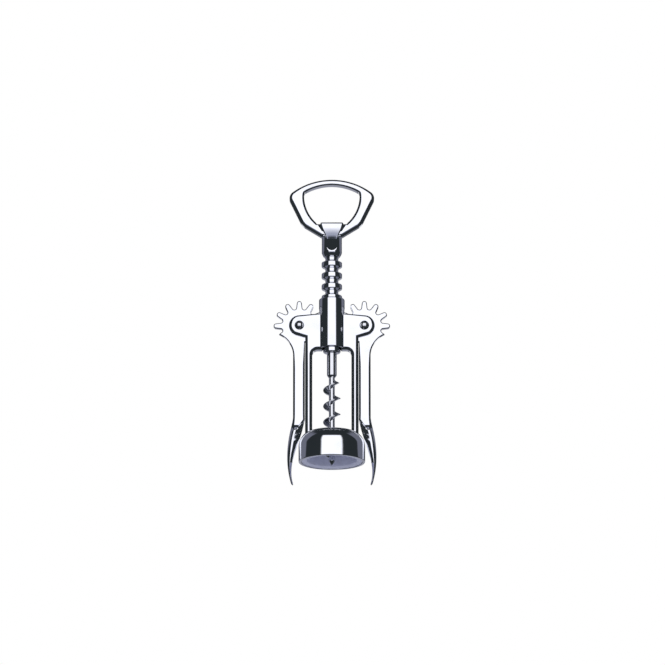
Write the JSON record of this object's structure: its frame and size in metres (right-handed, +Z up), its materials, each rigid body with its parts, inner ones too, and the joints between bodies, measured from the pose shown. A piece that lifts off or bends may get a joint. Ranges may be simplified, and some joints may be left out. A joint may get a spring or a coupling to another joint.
{
  "type": "wing corkscrew",
  "caption": "Chromed wing corkscrew: toothed levers raise a ringed rack whose turning worm draws the cork; its bow handle also lifts crown caps.",
  "frame": {"origin": "the centre of the bell's rim, where the bottle's neck goes in, on the worm's axis", "axes": "+Z up along the worm towards the bow handle, +X from lever to lever, -Y towards the side with the opener's lip"},
  "size_m": [0.0704, 0.04, 0.1908],
  "materials": {
    "chrome_body": "polished chrome plate",
    "chrome_lever": "polished chrome plate",
    "chrome_rack": "polished chrome plate",
    "chrome_worm": "polished chrome plate",
    "chrome_handle": "polished chrome plate",
    "polished_steel": "polished",
    "grey_plastic": "fine moulded satin"
  },
  "bodies": {
    "frame": {"frame_body": "chrome_body", "bell_liner": "grey_plastic", "left_rivet": "polished_steel", "right_rivet": "polished_steel"},
    "rack": {"rack": "chrome_rack"},
    "spindle": {"bow_handle": "chrome_handle", "worm": "chrome_worm", "bow_pin": "polished_steel"},
    "left_lever": {"left_lever": "chrome_lever"},
    "right_lever": {"right_lever": "chrome_lever"}
  },
  "joints": [
    {"name": "rack_slide", "type": "slide", "parent": "frame", "child": "rack", "axis": [0, 0, -1], "range_m": [0, 0.026]},
    {"name": "spindle_spin", "type": "hinge", "parent": "rack", "child": "spindle", "pos_m": [0, 0, 0.1278], "axis": [0, 0, 1], "continuous": true},
    {"name": "left_lever_swing", "type": "hinge", "parent": "frame", "child": "left_lever", "pos_m": [-0.01967, 0, 0.0846], "axis": [0, 1, 0], "range_deg": [0, 112]},
    {"name": "right_lever_swing", "type": "hinge", "parent": "frame", "child": "right_lever", "pos_m": [0.01967, 0, 0.0846], "axis": [0, -1, 0], "range_deg": [0, 112]}
  ],
  "couplings": [
    {"joint": "left_lever_swing", "follows": "rack_slide", "rad_per_m": 75.075},
    {"joint": "right_lever_swing", "follows": "rack_slide", "rad_per_m": 75.075}
  ]
}
